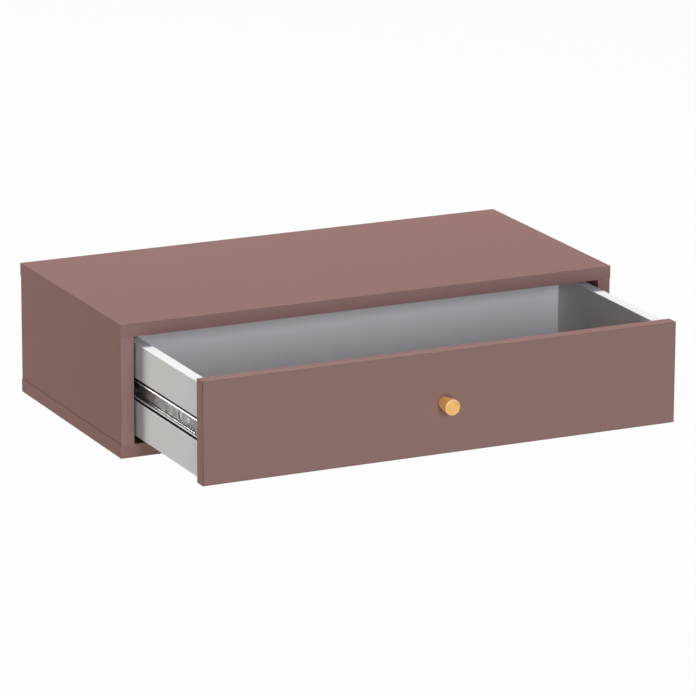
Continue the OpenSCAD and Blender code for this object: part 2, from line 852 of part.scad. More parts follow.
top_panel();
bottom_panel();
left_side_panel();
right_side_panel();
back_panel();
hanging_rail();
top_edge_bands();
bottom_edge_bands();
side_edge_bands();
cabinet_dowels();
cam_locks();
cam_bolts();
back_panel_nails();
left_cabinet_runner();
right_cabinet_runner();
cabinet_runner_screws();
drawer_front();
drawer_front_edge_bands();
drawer_left_side();
drawer_right_side();
drawer_back();
drawer_bottom();
drawer_box_edge_bands();
drawer_dowels();
drawer_cam_locks();
drawer_cam_bolts();
drawer_back_screws();
drawer_bottom_screws();
left_drawer_runner();
right_drawer_runner();
drawer_runner_screws();
runner_bumpers();
knob();
knob_screw();
left_ball_cage();
left_runner_balls();
right_ball_cage();
right_runner_balls();
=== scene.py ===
import math

import bmesh
import bpy
from mathutils import Matrix, Vector


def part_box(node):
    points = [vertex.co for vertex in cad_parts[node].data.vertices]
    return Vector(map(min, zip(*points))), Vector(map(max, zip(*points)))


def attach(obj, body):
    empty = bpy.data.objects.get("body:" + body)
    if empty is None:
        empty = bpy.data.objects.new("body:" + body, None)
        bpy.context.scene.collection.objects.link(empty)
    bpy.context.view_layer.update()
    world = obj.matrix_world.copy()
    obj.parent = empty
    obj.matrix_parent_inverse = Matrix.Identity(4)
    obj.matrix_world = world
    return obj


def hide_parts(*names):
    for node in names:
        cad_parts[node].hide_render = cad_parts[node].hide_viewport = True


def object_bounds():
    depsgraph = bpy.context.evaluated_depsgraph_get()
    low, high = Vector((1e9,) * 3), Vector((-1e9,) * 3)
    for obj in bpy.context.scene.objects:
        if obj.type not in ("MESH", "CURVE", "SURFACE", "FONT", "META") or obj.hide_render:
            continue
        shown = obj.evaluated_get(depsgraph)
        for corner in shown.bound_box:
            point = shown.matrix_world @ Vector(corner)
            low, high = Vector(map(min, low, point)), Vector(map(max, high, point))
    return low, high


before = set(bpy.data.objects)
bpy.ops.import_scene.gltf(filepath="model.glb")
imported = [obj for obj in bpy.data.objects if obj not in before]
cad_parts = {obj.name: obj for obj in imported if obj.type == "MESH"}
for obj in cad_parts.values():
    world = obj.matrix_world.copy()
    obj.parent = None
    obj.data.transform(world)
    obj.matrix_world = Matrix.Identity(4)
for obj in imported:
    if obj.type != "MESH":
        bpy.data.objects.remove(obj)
cad_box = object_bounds()


# Camera: the photograph was taken with a long lens, from the left and a little above, about
# six and a half metres away. Its place comes from a fit to the console's straight edges.
bpy.ops.object.camera_add(
    location=(-2.68202, -5.89443, 1.71439), rotation=(1.29632, -0.003526, -0.444509)
)
camera = bpy.context.object
camera.data.sensor_width = 36
camera.data.lens = 249.42
camera.data.clip_end = 100
bpy.context.scene.camera = camera
bpy.context.scene.view_settings.view_transform = "Standard"


# Studio: a pale floor well below the console, which hangs at hand height, and plain soft
# light. Camera, glossy and transmission rays meet a white room, and all others its dim light.
def put(tree, kind, settings=None, inputs=None):
    """A new shader node with its settings, and its inputs' values or links."""
    made = tree.nodes.new("ShaderNode" + kind)
    for key, value in (settings or {}).items():
        setattr(made, key, value)
    set_inputs(tree, made, inputs or {})
    return made


def set_inputs(tree, shader_node, inputs):
    """Values or links for the inputs of a shader node."""
    for key, value in inputs.items():
        if isinstance(value, bpy.types.NodeSocket):
            tree.links.new(value, shader_node.inputs[key])
        else:
            shader_node.inputs[key].default_value = value


def maths(tree, operation, a, b=0.0, c=0.0):
    """The result of one sum on numbers or sockets."""
    return put(tree, "Math", {"operation": operation}, {0: a, 1: b, 2: c}).outputs[0]


def seen_rays(tree):
    """One for camera, glossy and transmission rays, and zero for the others."""
    rays = put(tree, "LightPath").outputs
    seen = maths(tree, "MAXIMUM", rays["Is Camera Ray"], rays["Is Glossy Ray"])
    return maths(tree, "MAXIMUM", seen, rays["Is Transmission Ray"])


room_light = 0.05
room = bpy.data.worlds.new("studio_room")
room.use_nodes = True
tree = room.node_tree
tree.nodes.clear()
dim = put(tree, "Background", inputs={"Color": (0.88, 0.94, 1.0, 1), "Strength": room_light})
white = put(tree, "Background", inputs={"Color": (1, 1, 1, 1), "Strength": 1.0})
mixed = put(tree, "MixShader", inputs={0: seen_rays(tree), 1: dim.outputs[0], 2: white.outputs[0]})
put(tree, "OutputWorld", inputs={"Surface": mixed.outputs[0]})
bpy.context.scene.world = room

floor_drop = 0.75
floor_size = 40
floor_glow_share = 0.95
floor_z = cad_box[0].z - floor_drop
bpy.ops.mesh.primitive_plane_add(size=floor_size, location=(0, 0, floor_z))
floor = bpy.context.object
floor.name = "studio_floor"
floor_paint = bpy.data.materials.new("studio_floor")
floor_paint.use_nodes = True
tree = floor_paint.node_tree
tree.nodes.clear()
paint = put(tree, "BsdfDiffuse", inputs={"Color": (0.55, 0.55, 0.55, 1)})
glow = put(tree, "Emission", inputs={"Color": (1, 1, 1, 1), "Strength": 1.0})
lit = maths(tree, "MULTIPLY", seen_rays(tree), floor_glow_share)
mixed = put(tree, "MixShader", inputs={0: lit, 1: paint.outputs[0], 2: glow.outputs[0]})
put(tree, "OutputMaterial", inputs={"Surface": mixed.outputs[0]})
floor.data.materials.append(floor_paint)

console_middle = Vector((0, -0.3, -0.04))


def softbox(name, place, width, height, power, colour):
    """A large area lamp that faces the middle of the console."""
    bpy.ops.object.light_add(type="AREA", location=place)
    lamp = bpy.context.object
    lamp.name = name
    lamp.rotation_euler = (console_middle - Vector(place)).to_track_quat("-Z", "Y").to_euler()
    lamp.data.shape = "RECTANGLE"
    lamp.data.size = width
    lamp.data.size_y = height
    lamp.data.energy = power
    lamp.data.color = colour
    lamp.visible_camera = False


softbox("overhead_lamp", (1.4, 4.4, 5.8), width=1.6, height=1.4, power=580, colour=(1.0, 0.97, 0.965))
softbox("front_lamp", (-0.5, -9.0, 2.55), width=2.2, height=3.4, power=428, colour=(0.79, 0.87, 1.0))
softbox("low_front_lamp", (-0.8, -9.3, -0.3), width=1.9, height=1.0, power=275, colour=(0.8, 1.0, 0.98))
softbox("left_lamp", (-6.0, 7.7, 1.0), width=4.0, height=1.4, power=720, colour=(1.0, 0.965, 0.94))


# Top and bottom panels: chipboard with a matt foil in dusty terracotta on both faces.
# Plastic bands of the same colour cover the front edge and both ends; the rear edge is raw.
foil_red = (0.274, 0.148, 0.128, 1)
foil_red_deep = (0.263, 0.141, 0.122, 1)
terracotta = (foil_red, foil_red_deep, 0.42)
pale_chip = (0.50, 0.34, 0.19, 1)
dark_chip = (0.27, 0.165, 0.085, 1)
chip_dust = (0.62, 0.47, 0.30, 1)
chip_length_scale = 160.0
chip_thickness_scale = 520.0
chip_dust_share = 0.5
foil_t = 0.0003
foil_relief = 0.00004
chip_relief_share = 4.0
chip_rough = 0.92
grit_rough = 0.10
matt_gloss = 0.02
band_round = 0.0002
band_gap = 0.0001
smooth_angle = math.radians(35)
same_place = 1e-6


def new_material(name):
    """A material with its tree, its principled shader and the object coordinates."""
    material = bpy.data.materials.new(name)
    material.use_nodes = True
    tree = material.node_tree
    tree.nodes.clear()
    shader = put(tree, "BsdfPrincipled")
    put(tree, "OutputMaterial", inputs={"Surface": shader.outputs[0]})
    return material, tree, shader, put(tree, "TexCoord").outputs["Object"]


def noise(tree, where, scale, detail=2.0, roughness=0.5):
    """A cloudy pattern from 0 to 1."""
    inputs = {"Vector": where, "Scale": scale, "Detail": detail, "Roughness": roughness}
    return put(tree, "TexNoise", inputs=inputs).outputs[0]


def two_colours(tree, share, first, second):
    """The first colour where share is 0, and the second where it is 1."""
    return put(tree, "Mix", {"data_type": "RGBA"}, {0: share, 6: first, 7: second}).outputs[2]


def two_values(tree, share, first, second):
    """The first value where share is 0, and the second where it is 1."""
    return put(tree, "Mix", {"data_type": "FLOAT"}, {0: share, 2: first, 3: second}).outputs[0]


def between(tree, value, low, high):
    """A value from 0 to 1 brought between low and high."""
    return put(tree, "MapRange", inputs={0: value, 3: low, 4: high}).outputs[0]


def bump(tree, height, distance):
    """Surface relief from a height."""
    inputs = {"Height": height, "Distance": distance, "Strength": 1.0}
    return put(tree, "Bump", inputs=inputs).outputs[0]


def in_range(tree, value, start, end):
    """One where a value lies between start and end, and zero elsewhere."""
    return maths(tree, "COMPARE", value, (start + end) / 2, (end - start) / 2)


def chipboard(tree, where, axis):
    """The colour and the height of a cut through pressed chips, which lie along the board."""
    chip_scale = [chip_length_scale] * 3
    chip_scale[axis] = chip_thickness_scale
    flat = put(tree, "Mapping", inputs={"Vector": where, "Scale": chip_scale}).outputs[0]
    chips = put(tree, "TexVoronoi", inputs={"Vector": flat, "Scale": 1.0}).outputs
    tone = put(tree, "SeparateColor", inputs={0: chips["Color"]}).outputs[0]
    grain = noise(tree, where, scale=900.0, detail=3.0)
    colour = two_colours(tree, tone, pale_chip, dark_chip)
    colour = two_colours(tree, between(tree, grain, 0.0, chip_dust_share), colour, chip_dust)
    return colour, maths(tree, "ADD", chips["Distance"], grain)


def foil_board(name, node, axis, finish, wrapped=None, marks=None):
    """Foil-faced chipboard for the named node: foil on the two faces across the axis, and the
    core wherever the board is cut. A finish is a light colour, a deep one and a roughness.
    wrapped is an axis and the range on it that the foil covers as well, and marks is a
    function that adds painted shade and highlights to the foil's colour."""
    light, deep, rough = finish
    material, tree, shader, where = new_material(name)
    low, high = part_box(node)
    centre, half = (low[axis] + high[axis]) / 2, (high[axis] - low[axis]) / 2
    places = put(tree, "SeparateXYZ", inputs={0: where}).outputs
    off = maths(tree, "ABSOLUTE", maths(tree, "SUBTRACT", places[axis], centre))
    foil = maths(tree, "GREATER_THAN", off, half - foil_t)
    if wrapped:
        across, start, end = wrapped
        foil = maths(tree, "MAXIMUM", foil, in_range(tree, places[across], start, end))
    clouds = noise(tree, where, scale=7.0, detail=4.0, roughness=0.6)
    grit = noise(tree, where, scale=1500.0)
    core, chips = chipboard(tree, where, axis)
    skin = two_colours(tree, clouds, light, deep)
    if marks:
        skin = marks(tree, places, maths(tree, "SUBTRACT", half, off), skin)
    chips = maths(tree, "MULTIPLY", chips, chip_relief_share)
    skin_rough = maths(tree, "MULTIPLY_ADD", grit, grit_rough, rough)
    set_inputs(
        tree,
        shader,
        {
            "Base Color": two_colours(tree, foil, core, skin),
            "Roughness": two_values(tree, foil, chip_rough, skin_rough),
            "Normal": bump(tree, two_values(tree, foil, chips, grit), foil_relief),
            "Specular IOR Level": matt_gloss,
        },
    )
    return material


def dress(node, material):
    """Gives a CAD node its material."""
    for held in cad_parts[node].material_slots:
        held.material = material


def edge_plastic(name, finish):
    """Thin matt plastic edging, cloudy in colour and slightly gritty."""
    light, deep, rough = finish
    material, tree, shader, where = new_material(name)
    clouds = noise(tree, where, scale=40.0, detail=3.0)
    grit = noise(tree, where, scale=1200.0)
    set_inputs(
        tree,
        shader,
        {
            "Base Color": two_colours(tree, clouds, light, deep),
            "Roughness": maths(tree, "MULTIPLY_ADD", grit, grit_rough, rough),
            "Normal": bump(tree, grit, foil_relief),
            "Specular IOR Level": matt_gloss,
        },
    )
    return material


def rounded_strip(low, high, axis, outward, radius):
    """An edge band between two corners, with the edges of its outer face rounded over."""
    bpy.ops.object.select_all(action="DESELECT")
    bpy.ops.mesh.primitive_cube_add(size=1, location=(Vector(low) + Vector(high)) / 2)
    strip = bpy.context.object
    strip.scale = Vector(high) - Vector(low)
    bpy.ops.object.transform_apply(location=True, rotation=True, scale=True)
    outer = (high if outward > 0 else low)[axis]
    bpy.ops.object.mode_set(mode="EDIT")
    bpy.ops.mesh.select_all(action="DESELECT")
    shape = bmesh.from_edit_mesh(strip.data)
    for edge in shape.edges:
        edge.select = all(abs(v.co[axis] - outer) < same_place for v in edge.verts)
    bmesh.update_edit_mesh(strip.data)
    bpy.ops.mesh.bevel(offset=radius, segments=3, affect="EDGES")
    bpy.ops.object.mode_set(mode="OBJECT")
    return strip


def one_piece(name, parts, material, body, replaced, even=False):
    """Joins parts into one piece with a material, which rides on a body and stands for nodes.
    An even piece keeps its broad faces flat between their rounded edges."""
    bpy.ops.object.select_all(action="DESELECT")
    for part in parts:
        part.select_set(True)
    bpy.context.view_layer.objects.active = parts[0]
    if len(parts) > 1:
        bpy.ops.object.join()
    bpy.ops.object.shade_smooth_by_angle(angle=smooth_angle)
    piece = bpy.context.object
    if even:
        piece.modifiers.new("even", "WEIGHTED_NORMAL")
        bpy.ops.object.modifier_apply(modifier="even")
    piece.name = name
    piece.data.materials.clear()
    piece.data.materials.append(material)
    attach(piece, body)
    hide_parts(*replaced)


band_red = edge_plastic("terracotta_band", terracotta)
for name in ("top", "bottom"):
    dress(name + "_panel", foil_board(name + "_foil", name + "_panel", 2, terracotta))
    low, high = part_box(name + "_edge_bands")
    core_low, core_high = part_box(name + "_panel")
    strips = [rounded_strip(low, (high.x, core_low.y, high.z), 1, -1, band_round)]
    for outward, start, end in ((-1, low.x, core_low.x), (1, core_high.x, high.x)):
        strips.append(
            rounded_strip(
                (start, core_low.y + band_gap, low.z), (end, high.y, high.z), 0, outward, band_round
            )
        )
    one_piece(name + "_bands", strips, band_red, "cabinet", [name + "_edge_bands"], True)


# Side panels: the same foiled board, dowelled and cammed between the top and the bottom.
# A plastic band covers the front edge of each; its colour is painted a shade paler than the foil, as
# painted light.
# Painted light: these bands' colours are paler than the foil's, to stand in for light on the front
# edges.
painted_light_terracotta = ((0.304, 0.167, 0.147, 1), (0.293, 0.160, 0.141, 1), 0.40)
for name in ("left_side_panel", "right_side_panel"):
    dress(name, foil_board(name + "_foil", name, 0, terracotta))
low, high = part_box("side_edge_bands")
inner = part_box("left_side_panel")[1].x
strips = [
    rounded_strip(low, (inner, high.y, high.z), 1, -1, band_round),
    rounded_strip((-inner, low.y, low.z), high, 1, -1, band_round),
]
painted_light_band = edge_plastic("painted_light_band", painted_light_terracotta)
one_piece("side_bands", strips, painted_light_band, "cabinet", ["side_edge_bands"], True)


# Back: 3 mm hardboard in a rebate, foiled on the side that faces the drawer. The side that
# faces the wall is bare: brown pressed fibre, cloudy in colour.
fibre_brown = (0.245, 0.135, 0.065, 1)
fibre_brown_deep = (0.165, 0.085, 0.040, 1)
fibre_pale = (0.33, 0.20, 0.105, 1)
fibre_pale_share = 0.6
fibre_relief = 0.00006
bare_rough = 0.72
lacquer_rough = 0.45


def hardboard(name, axis, face, outward, light, deep):
    """Pressed fibreboard, finished on the face at that place along the axis, bare elsewhere."""
    material, tree, shader, where = new_material(name)
    places = put(tree, "SeparateXYZ", inputs={0: where}).outputs
    past = maths(tree, "SUBTRACT", places[axis], face - outward * foil_t)
    skin_side = maths(tree, "GREATER_THAN", maths(tree, "MULTIPLY", past, float(outward)), 0.0)
    clouds = noise(tree, where, scale=14.0, detail=5.0, roughness=0.65)
    fibre = noise(tree, where, scale=700.0, detail=4.0, roughness=0.7)
    bare = two_colours(tree, clouds, fibre_brown, fibre_brown_deep)
    bare = two_colours(tree, between(tree, fibre, 0.0, fibre_pale_share), bare, fibre_pale)
    skin = two_colours(tree, clouds, light, deep)
    set_inputs(
        tree,
        shader,
        {
            "Base Color": two_colours(tree, skin_side, bare, skin),
            "Roughness": between(tree, skin_side, bare_rough, lacquer_rough),
            "Normal": bump(tree, fibre, fibre_relief),
        },
    )
    return material


low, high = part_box("back_panel")
dress("back_panel", hardboard("back_hardboard", 1, low.y, -1, foil_red, foil_red_deep))


# Hanging rail: a strip of the foiled board behind the drawer, with three holes for the wall
# screws. It is foiled on its two faces and raw along its lower edge.
dress("hanging_rail", foil_board("rail_foil", "hanging_rail", 1, terracotta))


# Dowels: plain beech pins, glued across each joint of the cabinet and of the drawer.
# They are cut from rod, with a pale speckled grain.
rod_pale = (0.58, 0.37, 0.19, 1)
rod_brown = (0.44, 0.26, 0.12, 1)
fleck_brown = (0.30, 0.16, 0.07, 1)
fleck_share = 0.3
rod_rough = 0.6
rod_relief = 0.00008

beech, tree, shader, where = new_material("beech")
grain = noise(tree, where, scale=300.0, detail=4.0, roughness=0.6)
flecks = noise(tree, where, scale=1600.0, detail=1.0)
rod_colour = two_colours(tree, grain, rod_pale, rod_brown)
rod_colour = two_colours(tree, between(tree, flecks, 0.0, fleck_share), rod_colour, fleck_brown)
set_inputs(
    tree,
    shader,
    {"Base Color": rod_colour, "Roughness": rod_rough, "Normal": bump(tree, grain, rod_relief)},
)
for name in ("cabinet_dowels", "drawer_dowels"):
    dress(name, beech)


# Cam fittings: die-cast zinc locks in the boards, turned with a cross driver, and steel bolts
# with a coarse thread in the facing board.
gloss_spread = 0.16
fine_scale_share = 8


def metal(name, light, deep, rough, patch_scale, relief):
    """Plated or polished metal: cloudy in colour and gloss, with slight waves."""
    material, tree, shader, where = new_material(name)
    clouds = noise(tree, where, scale=patch_scale, detail=4.0, roughness=0.6)
    fine = noise(tree, where, scale=patch_scale * fine_scale_share)
    set_inputs(
        tree,
        shader,
        {
            "Base Color": two_colours(tree, clouds, light, deep),
            "Metallic": 1.0,
            "Roughness": maths(tree, "MULTIPLY_ADD", fine, gloss_spread, rough),
            "Normal": bump(tree, maths(tree, "ADD", clouds, fine), relief),
        },
    )
    return material


cast_zinc = metal(
    "cast_zinc", (0.40, 0.40, 0.40, 1), (0.28, 0.28, 0.285, 1),
    rough=0.36, patch_scale=400.0, relief=0.00006,
)
bright_zinc = metal(
    "bright_zinc", (0.84, 0.84, 0.82, 1), (0.72, 0.72, 0.71, 1),
    rough=0.2, patch_scale=300.0, relief=0.00002,
)
for name in ("cam_locks", "drawer_cam_locks"):
    dress(name, cast_zinc)
for name in ("cam_bolts", "drawer_cam_bolts"):
    dress(name, bright_zinc)


# Nails: flat-headed wire nails, driven through the hardboard into the rear edges of the
# boards. Rings under the head grip the wood.
def solids_of(node):
    """The lowest and highest corner of each separate solid in a CAD node."""
    shape = bmesh.new()
    shape.from_mesh(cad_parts[node].data)
    bmesh.ops.remove_doubles(shape, verts=shape.verts, dist=same_place)
    left = set(shape.verts)
    corners = []
    while left:
        waiting = [left.pop()]
        found = []
        while waiting:
            vert = waiting.pop()
            found.append(vert.co.copy())
            for edge in vert.link_edges:
                other = edge.other_vert(vert)
                if other in left:
                    left.remove(other)
                    waiting.append(other)
        low = Vector([min(place[i] for place in found) for i in range(3)])
        high = Vector([max(place[i] for place in found) for i in range(3)])
        corners.append((low, high))
    shape.free()
    return sorted(corners, key=lambda pair: tuple(round(c, 5) for c in pair[0]))


screw_sides = 24
nail_sides = 16


def turned(start, along, profile, sides=screw_sides):
    """A turned piece: a disc at the start, drawn out through its distances and radii."""
    start, along = Vector(start), Vector(along)
    bpy.ops.object.select_all(action="DESELECT")
    bpy.ops.mesh.primitive_circle_add(
        vertices=sides,
        radius=profile[0][1],
        fill_type="NGON",
        location=start + along * profile[0][0],
        rotation=along.to_track_quat("Z", "Y").to_euler(),
    )
    bpy.ops.object.transform_apply(location=True, rotation=True, scale=True)
    bpy.ops.object.mode_set(mode="EDIT")
    bpy.ops.mesh.select_all(action="SELECT")
    for (last_l, last_r), (next_l, next_r) in zip(profile, profile[1:]):
        bpy.ops.mesh.extrude_region_move(
            TRANSFORM_OT_translate={"value": along * (next_l - last_l)}
        )
        share = next_r / last_r
        bpy.ops.transform.resize(value=(share, share, share), center_override=start + along * next_l)
    bpy.ops.mesh.select_all(action="SELECT")
    bpy.ops.mesh.normals_make_consistent(inside=False)
    bpy.ops.object.mode_set(mode="OBJECT")
    return bpy.context.object


def rings(start, end, root, crest, pitch):
    """Distances and radii of a row of sharp rings or thread crests."""
    rise_share = 0.4
    fall_share = 0.5
    steps = []
    place = start
    while place + pitch <= end:
        steps += [(place, root), (place + rise_share * pitch, crest)]
        steps += [(place + fall_share * pitch, crest)]
        place += pitch
    return steps + [(place, root)]


def copies(model, first, places, turn=False):
    """The model again in each further place, turned round where it lies on the other side."""
    made = [model]
    old = (first[0] + first[1]) / 2
    for low, high in places[1:]:
        new = (low + high) / 2
        other = model.copy()
        other.data = model.data.copy()
        bpy.context.collection.objects.link(other)
        spin = math.pi if turn and new.x * old.x < 0 else 0.0
        other.data.transform(
            Matrix.Translation(new) @ Matrix.Rotation(spin, 4, "Z") @ Matrix.Translation(-old)
        )
        made.append(other)
    return made


nail_l = 0.02
nail_head_r = 0.0016
nail_head_t = 0.0008
nail_round = 0.0002
nail_shank_r = 0.0008
nail_end_r = 0.00078
nail_root_r = 0.00065
nail_ringed_l = 0.006
nail_pitch = 0.0007
nail_tip_l = 0.0018
nail_point_r = 0.0001
places = solids_of("back_panel_nails")
low, high = places[0]
profile = [
    (0, nail_head_r - nail_round),
    (nail_round, nail_head_r),
    (nail_head_t - nail_round / 2, nail_head_r),
    (nail_head_t, nail_shank_r),
]
profile += rings(2 * nail_head_t, nail_ringed_l, nail_root_r, nail_shank_r, nail_pitch)
profile += [(nail_l - nail_tip_l, nail_end_r), (nail_l, nail_point_r)]
nail_head = ((low.x + high.x) / 2, high.y, (low.z + high.z) / 2)
nail = turned(nail_head, (0, -1, 0), profile, nail_sides)
one_piece(
    "hardboard_nails", copies(nail, places[0], places), bright_zinc, "cabinet",
    ["back_panel_nails"],
)


# Runners: rolled steel, zinc plated and mottled. A painted highlight brightens the lips,
# and painted shade darkens the upper race that the balls run in.
plating_dark = (0.15, 0.145, 0.14, 1)
plating_light = (0.38, 0.37, 0.35, 1)
# The dark race colours below are painted shade, and the bright lip colour is a painted highlight.
race_shade_dark = (0.045, 0.043, 0.04, 1)
lip_highlight = (0.92, 0.91, 0.89, 1)
race_shade_black = (0.035, 0.03, 0.024, 1)
patch_low_share = 0.36
patch_high_share = 0.64
zinc_rough = 0.2
zinc_rough_high = 0.34
zinc_haze = 0.3
zinc_relief = 0.00003
race_shade_reach = 0.0003
race_shade_start_share = 0.6
race_start = 0.0002
upper_lip_w = 0.0002
lower_lip_w = 0.001
lip_face_haze = 0.35
lip_side_haze = 0.95
lip_wave_share = 0.1


def runner_steel(side):
    """Mottled plating, with painted highlights on the lips and painted shade in the upper race, on one
    side's two members.
    """
    balls_low, balls_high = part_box(side + "_runner_balls")
    channel_low, channel_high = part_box(side + "_drawer_runner")
    ball_r = (balls_high.x - balls_low.x) / 2
    ball_x = (balls_low.x + balls_high.x) / 2
    axis_z = (balls_low.z + balls_high.z) / 2
    ball_z = (balls_high.z - balls_low.z) / 2 - ball_r
    lip_x = channel_low.x if side == "left" else channel_high.x
    material, tree, shader, where = new_material(side + "_runner_zinc")
    places = put(tree, "SeparateXYZ", inputs={0: where}).outputs
    patches = noise(tree, where, scale=95.0, detail=5.0, roughness=0.62)
    shares = {0: patches, 1: patch_low_share, 2: patch_high_share}
    patches = put(tree, "MapRange", inputs=shares).outputs[0]
    fine = noise(tree, where, scale=900.0)

    over_axis = maths(tree, "SUBTRACT", places[2], axis_z)
    above = maths(tree, "GREATER_THAN", over_axis, 0.0)
    lip_w = between(tree, above, lower_lip_w, upper_lip_w)
    lip = maths(tree, "COMPARE", places[0], lip_x, lip_w)
    lip_face = maths(tree, "COMPARE", places[0], lip_x, upper_lip_w)
    lip_haze = maths(tree, "MULTIPLY", lip, between(tree, lip_face, lip_side_haze, lip_face_haze))

    dx = maths(tree, "SUBTRACT", places[0], ball_x)
    dz = maths(tree, "SUBTRACT", over_axis, ball_z)
    squares = maths(tree, "ADD", maths(tree, "MULTIPLY", dx, dx), maths(tree, "MULTIPLY", dz, dz))
    near_ball = maths(tree, "LESS_THAN", maths(tree, "SQRT", squares), ball_r + race_shade_reach)
    deep = maths(tree, "GREATER_THAN", over_axis, ball_z + race_shade_start_share * ball_r)
    race_shade = maths(tree, "MULTIPLY", near_ball, deep)
    over_race = maths(tree, "GREATER_THAN", over_axis, ball_z + race_start)

    colour = two_colours(tree, patches, plating_dark, plating_light)
    # Painted shade over the upper race and round its balls, and a painted highlight on the lips.
    colour = two_colours(tree, over_race, colour, race_shade_dark)
    colour = two_colours(tree, lip, colour, lip_highlight)
    colour = two_colours(tree, race_shade, colour, race_shade_black)
    haze = maths(tree, "MAXIMUM", maths(tree, "MAXIMUM", race_shade, lip_haze), zinc_haze)
    waves = maths(tree, "ADD", patches, fine)
    waves = maths(tree, "MULTIPLY", waves, between(tree, lip, 1.0, lip_wave_share))
    set_inputs(
        tree,
        shader,
        {
            "Base Color": colour,
            "Metallic": maths(tree, "SUBTRACT", 1.0, haze),
            "Roughness": between(tree, fine, zinc_rough, zinc_rough_high),
            "Normal": bump(tree, waves, zinc_relief),
        },
    )
    return material


def cross_recess(piece, middle, axis, width, reach, depth):
    """Cuts the two slots of a cross recess into a screw head."""
    for across in ((width, reach), (reach, width)):
        size = list(across)
        size.insert(axis, 2 * depth)
        bpy.ops.object.select_all(action="DESELECT")
        bpy.ops.mesh.primitive_cube_add(size=1, location=middle)
        cutter = bpy.context.object
        cutter.scale = size
        bpy.ops.object.transform_apply(location=True, rotation=True, scale=True)
        cut = piece.modifiers.new("recess", "BOOLEAN")
        cut.object = cutter
        cut.operation = "DIFFERENCE"
        bpy.context.view_layer.objects.active = piece
        bpy.ops.object.modifier_apply(modifier=cut.name)
        bpy.data.objects.remove(cutter)


for side in ("left", "right"):
    zinc = runner_steel(side)
    dress(side + "_cabinet_runner", zinc)
    dress(side + "_drawer_runner", zinc)

pan_head_r = 0.00325
pan_head_t = 0.0018
pan_core_r = 0.0012
pan_thread_r = 0.00175
pan_pitch = 0.0014
pan_neck_l = 0.0004
pan_tip_l = 0.003
pan_point_r = 0.0002
pan_dome = [(0, 0.0018), (0.0002, 0.0026), (0.0006, 0.0031), (0.0012, pan_head_r)]
places = solids_of("cabinet_runner_screws")
low, high = places[0]
head = (high.x, (low.y + high.y) / 2, (low.z + high.z) / 2)
length = high.x - low.x
profile = pan_dome + [(pan_head_t, pan_head_r), (pan_head_t, pan_core_r)]
profile += rings(pan_head_t + pan_neck_l, length - pan_tip_l, pan_core_r, pan_thread_r, pan_pitch)
pan_screw = turned(head, (-1, 0, 0), profile + [(length, pan_point_r)])
cross_recess(pan_screw, head, 0, width=0.0011, reach=0.0038, depth=0.0012)
one_piece(
    "runner_pan_screws", copies(pan_screw, places[0], places, True), bright_zinc, "cabinet",
    ["cabinet_runner_screws"],
)


# Ball cages and balls: the cages are thin pressed steel strips, and the balls are of
# polished bearing steel. They roll between the two members of each runner.
cage_steel = metal(
    "cage_steel", (0.46, 0.46, 0.45, 1), (0.36, 0.36, 0.36, 1),
    rough=0.3, patch_scale=200.0, relief=0.00004,
)
ball_steel = metal(
    "ball_steel", (0.66, 0.66, 0.66, 1), (0.62, 0.62, 0.62, 1),
    rough=0.05, patch_scale=500.0, relief=0.000002,
)
for side in ("left", "right"):
    dress(side + "_ball_cage", cage_steel)
    dress(side + "_runner_balls", ball_steel)


# Bumpers: soft black rubber blocks, pressed into the front ends of the channels. They quiet
# the runners when the drawer stops.
rubber_black = (0.022, 0.022, 0.022, 1)
rubber_grey = (0.034, 0.034, 0.034, 1)
rubber_relief = 0.00008

rubber, tree, shader, where = new_material("black_rubber")
specks = noise(tree, where, scale=900.0, detail=3.0)
set_inputs(
    tree,
    shader,
    {
        "Base Color": two_colours(tree, specks, rubber_black, rubber_grey),
        "Roughness": between(tree, specks, 0.55, 0.8),
        "Normal": bump(tree, specks, rubber_relief),
    },
)
dress("runner_bumpers", rubber)


# Drawer front: the cabinet's foiled board, banded on all four edges and set between the side
# panels. It is held by cam fittings and dowels in the drawer's sides.
dress("drawer_front", foil_board("front_foil", "drawer_front", 1, terracotta))
low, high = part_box("drawer_front_edge_bands")
core_low, core_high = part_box("drawer_front")
strips = []
for outward, start, end in ((1, core_high.z, high.z), (-1, low.z, core_low.z)):
    strips.append(rounded_strip((low.x, low.y, start), (high.x, high.y, end), 2, outward, band_round))
for outward, start, end in ((-1, low.x, core_low.x), (1, core_high.x, high.x)):
    strips.append(
        rounded_strip(
            (start, low.y, core_low.z + band_gap), (end, high.y, core_high.z - band_gap),
            0, outward, band_round,
        )
    )
# The drawer front's bands share the paler colour, which is painted light.
one_piece("front_bands", strips, painted_light_band, "drawer", ["drawer_front_edge_bands"], True)


# Drawer box: thinner board wrapped in a warm white foil, which lines the runners' grooves too.
# Painted shade darkens each groove's lower wall, over a painted highlight along its cut edge.
# White bands cover the rims.
warm_white = ((0.730, 0.715, 0.688, 1), (0.710, 0.696, 0.669, 1), 0.38)
rim_white = ((0.96, 0.96, 0.96, 1), (0.945, 0.945, 0.945, 1), 0.34)
# Painted highlight along each groove's cut edge, and painted shade on its lower wall, in the two
# colours below.
edge_highlight_white = (0.97, 0.97, 0.96, 1)
groove_shade_dark = (0.06, 0.056, 0.05, 1)
runner_low, runner_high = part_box("left_drawer_runner")
groove_gap = 0.0023
groove_reach = 0.003
sill_z = runner_low.z - groove_gap
sill_t = 0.0001
unshaded_w = 0.0013
edge_highlight_w = 0.0012
rim_round = 0.0003


